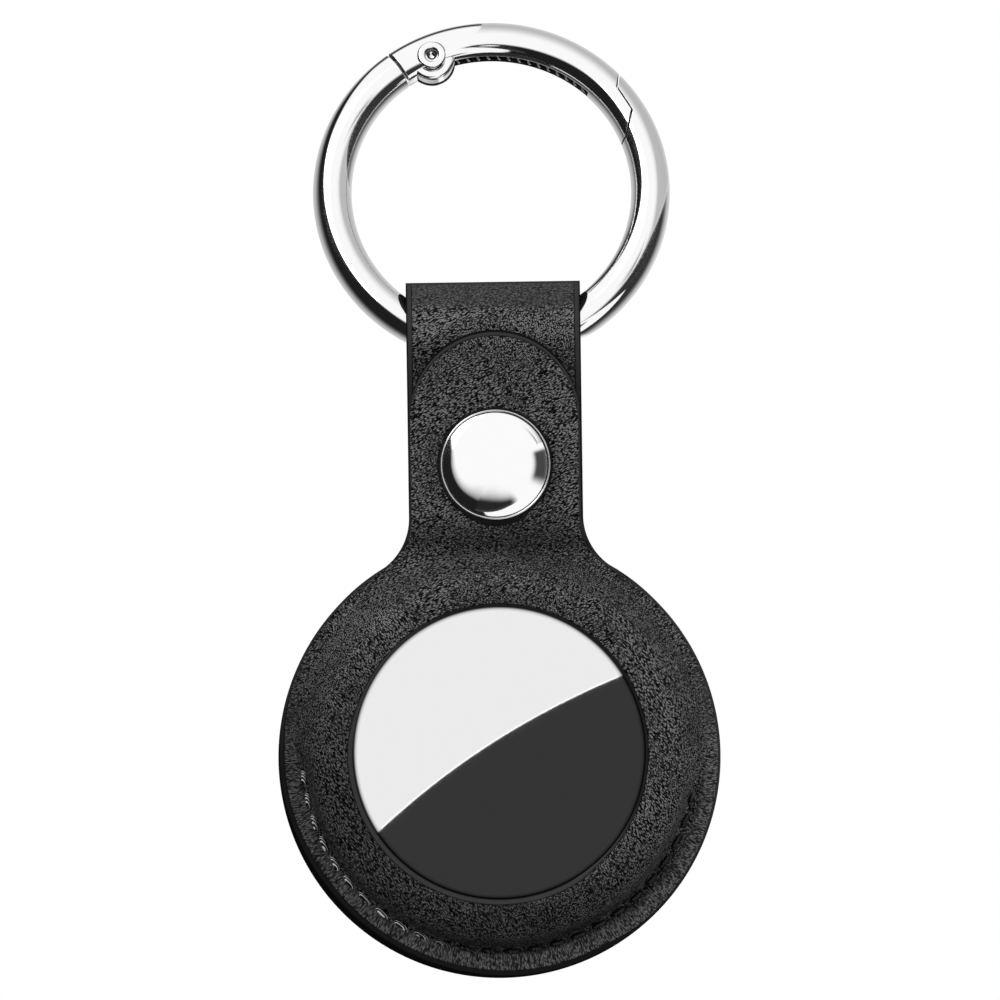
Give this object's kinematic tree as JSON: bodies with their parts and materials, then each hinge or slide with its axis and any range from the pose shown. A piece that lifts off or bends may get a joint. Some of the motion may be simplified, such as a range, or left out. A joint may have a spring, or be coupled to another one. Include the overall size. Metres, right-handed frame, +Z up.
{
  "type": "tracker tag holder",
  "caption": "Leather key fob with a round pouch and window for a disc-shaped tracking tag, a snap closure and a spring gate ring.",
  "frame": {"origin": "centre of the spring ring, on its mid-plane; the fob hangs below it from the ring", "axes": "+X to the right seen from the front, -Y out of the window side, +Z up along the hanging strap"},
  "size_m": [0.04, 0.0162, 0.0867],
  "materials": {
    "ring_chrome": "bright plated zinc casting, polished",
    "spring_steel": "drawn spring wire",
    "leather_black": "fine grained coated leather, semi matt, edges painted black",
    "snap_chrome": "bright plated, domed",
    "snap_nickel": "plated brass",
    "tag_white": "moulded, glossy",
    "frame_black": "moulded, matt",
    "board_green": "solder mask",
    "cell_steel": "pressed steel can",
    "contact_brass": "plated spring strip",
    "magnet_grey": "nickel plated magnet",
    "coil_copper": "enamelled wire",
    "bayonet_white": "moulded",
    "cover_steel": "polished stainless steel"
  },
  "bodies": {
    "ring": {"ring_frame": "ring_chrome", "gate_pin": "ring_chrome"},
    "gate": {"ring_gate": "ring_chrome", "gate_spring": "spring_steel"},
    "fob": {"back_panel": "leather_black", "front_panel": "leather_black", "snap_stud": "snap_nickel", "snap_post": "snap_nickel"},
    "flap": {"front_flap": "leather_black", "snap_cap": "snap_chrome", "snap_socket": "snap_nickel", "socket_spring": "spring_steel"},
    "tag": {"tag_shell": "tag_white", "inner_frame": "frame_black", "circuit_board": "board_green", "coin_cell": "cell_steel", "battery_contacts": "contact_brass", "speaker_magnet": "magnet_grey", "voice_coil": "coil_copper"},
    "cover": {"battery_cover": "cover_steel", "bayonet_ring": "bayonet_white"}
  },
  "joints": [
    {"name": "gate_hinge", "type": "hinge", "parent": "ring", "child": "gate", "pos_m": [-0.00524, 0.00393, 0.01209], "axis": [0, 0.9511, -0.309], "range_deg": [0, 30], "stiffness_Nm_per_rad": 0.04, "springref_deg": -28.65, "deforming": ["gate_spring"]},
    {"name": "fob_swing", "type": "hinge", "parent": "ring", "child": "fob", "pos_m": [0, -0.00404, -0.01243], "axis": [1, 0, 0], "range_deg": [-170, 135]},
    {"name": "flap_fold", "type": "hinge", "parent": "fob", "child": "flap", "pos_m": [0, -0.00921, -0.05079], "axis": [1, 0, 0], "range_deg": [0, 110], "stiffness_Nm_per_rad": 0.01, "springref_deg": -22.92, "deforming": ["socket_spring"]},
    {"name": "tag_spin", "type": "hinge", "parent": "fob", "child": "tag", "pos_m": [0, -0.00401, -0.05079], "axis": [0, -1, 0], "continuous": true},
    {"name": "cover_twist", "type": "hinge", "parent": "tag", "child": "cover", "pos_m": [0, -0.00401, -0.05079], "axis": [0, -1, 0], "range_deg": [0, 20]}
  ]
}
